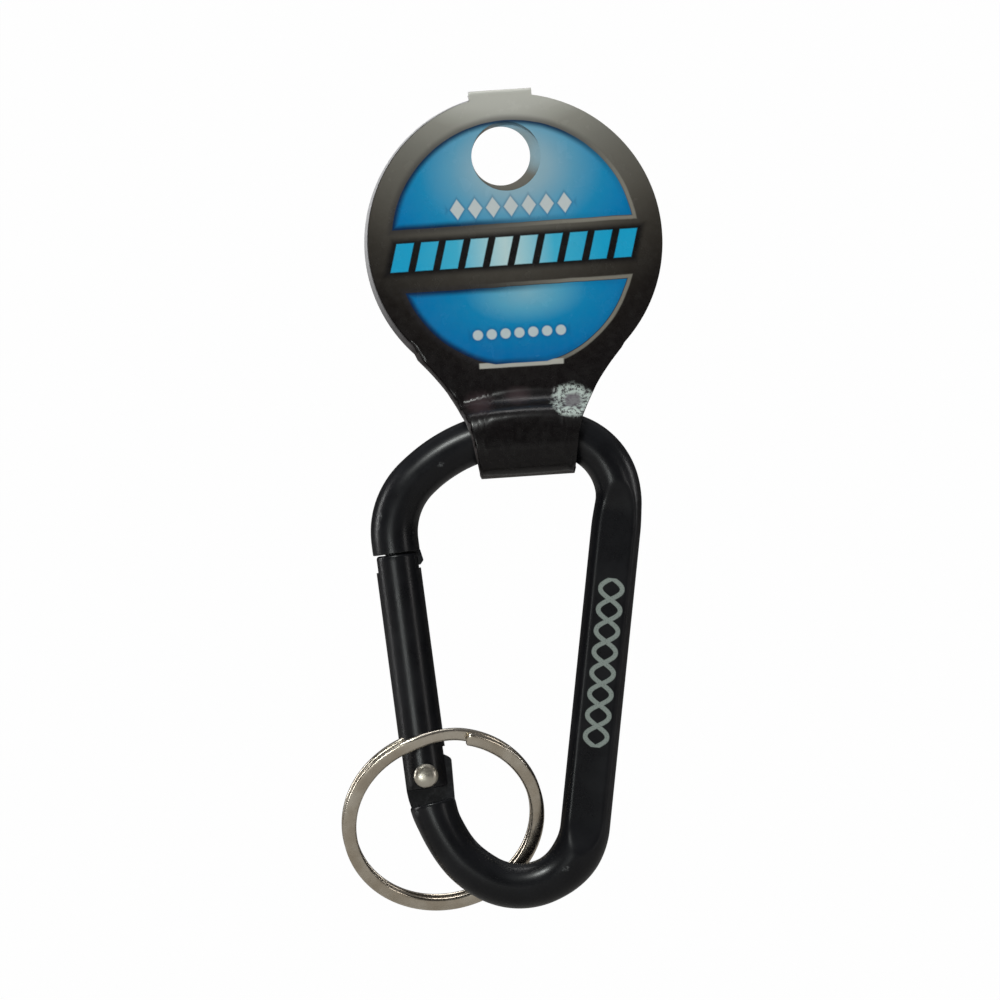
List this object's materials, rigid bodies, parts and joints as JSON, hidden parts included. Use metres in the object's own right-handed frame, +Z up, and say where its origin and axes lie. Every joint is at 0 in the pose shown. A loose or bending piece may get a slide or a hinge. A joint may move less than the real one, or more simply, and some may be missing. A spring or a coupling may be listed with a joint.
{
  "type": "carabiner keyring",
  "caption": "Small D-shaped snap hook with sprung gate, a split key ring on its lower bend and a folded round hang tag on its top bar.",
  "frame": {"origin": "centre of the hang hole through the tag, on the tag's mid plane", "axes": "+Z up as it hangs, the tag's printed front faces -Y, the hook's spine is at +X and its gate at -X"},
  "size_m": [0.0393, 0.0134, 0.1012],
  "materials": {
    "black_anodised_aluminium": "black anodised, satin gloss",
    "rivet_metal": "bright",
    "spring_steel": "bright wire",
    "nickel_plate": "polished nickel",
    "printed_plastic": "glossy printed sheet",
    "dark_plastic": "glossy sheet"
  },
  "bodies": {
    "tag": {"tag_front_leaf": "printed_plastic", "tag_back_leaf": "printed_plastic", "tag_strap_loop": "dark_plastic"},
    "hook": {"carabiner_frame": "black_anodised_aluminium"},
    "gate": {"gate": "black_anodised_aluminium", "hinge_rivet": "rivet_metal", "gate_spring": "spring_steel"},
    "plunger": {"spring_plunger": "spring_steel"},
    "ring": {"split_ring": "nickel_plate"}
  },
  "joints": [
    {"name": "hook_swing", "type": "hinge", "parent": "tag", "child": "hook", "pos_m": [0.00305, 0, -0.03442], "axis": [0.9977, 0, 0.0675], "range_deg": [-48, 48]},
    {"name": "gate_hinge", "type": "hinge", "parent": "hook", "child": "gate", "pos_m": [-0.00915, 0, -0.076], "axis": [0, 1, 0], "range_deg": [0, 30], "stiffness_Nm_per_rad": 0.02, "springref_deg": -22.92},
    {"name": "plunger_slide", "type": "slide", "parent": "gate", "child": "plunger", "axis": [-0.1323, 0, 0.9912], "range_m": [0, 0.00064], "deforming": ["gate_spring"]},
    {"name": "ring_swing", "type": "hinge", "parent": "hook", "child": "ring", "pos_m": [-0.00708, 0, -0.08135], "axis": [0.9539, 0, 0.3], "range_deg": [0, 122]}
  ],
  "couplings": [
    {"joint": "plunger_slide", "follows": "gate_hinge", "m_per_rad": 0.0012}
  ]
}
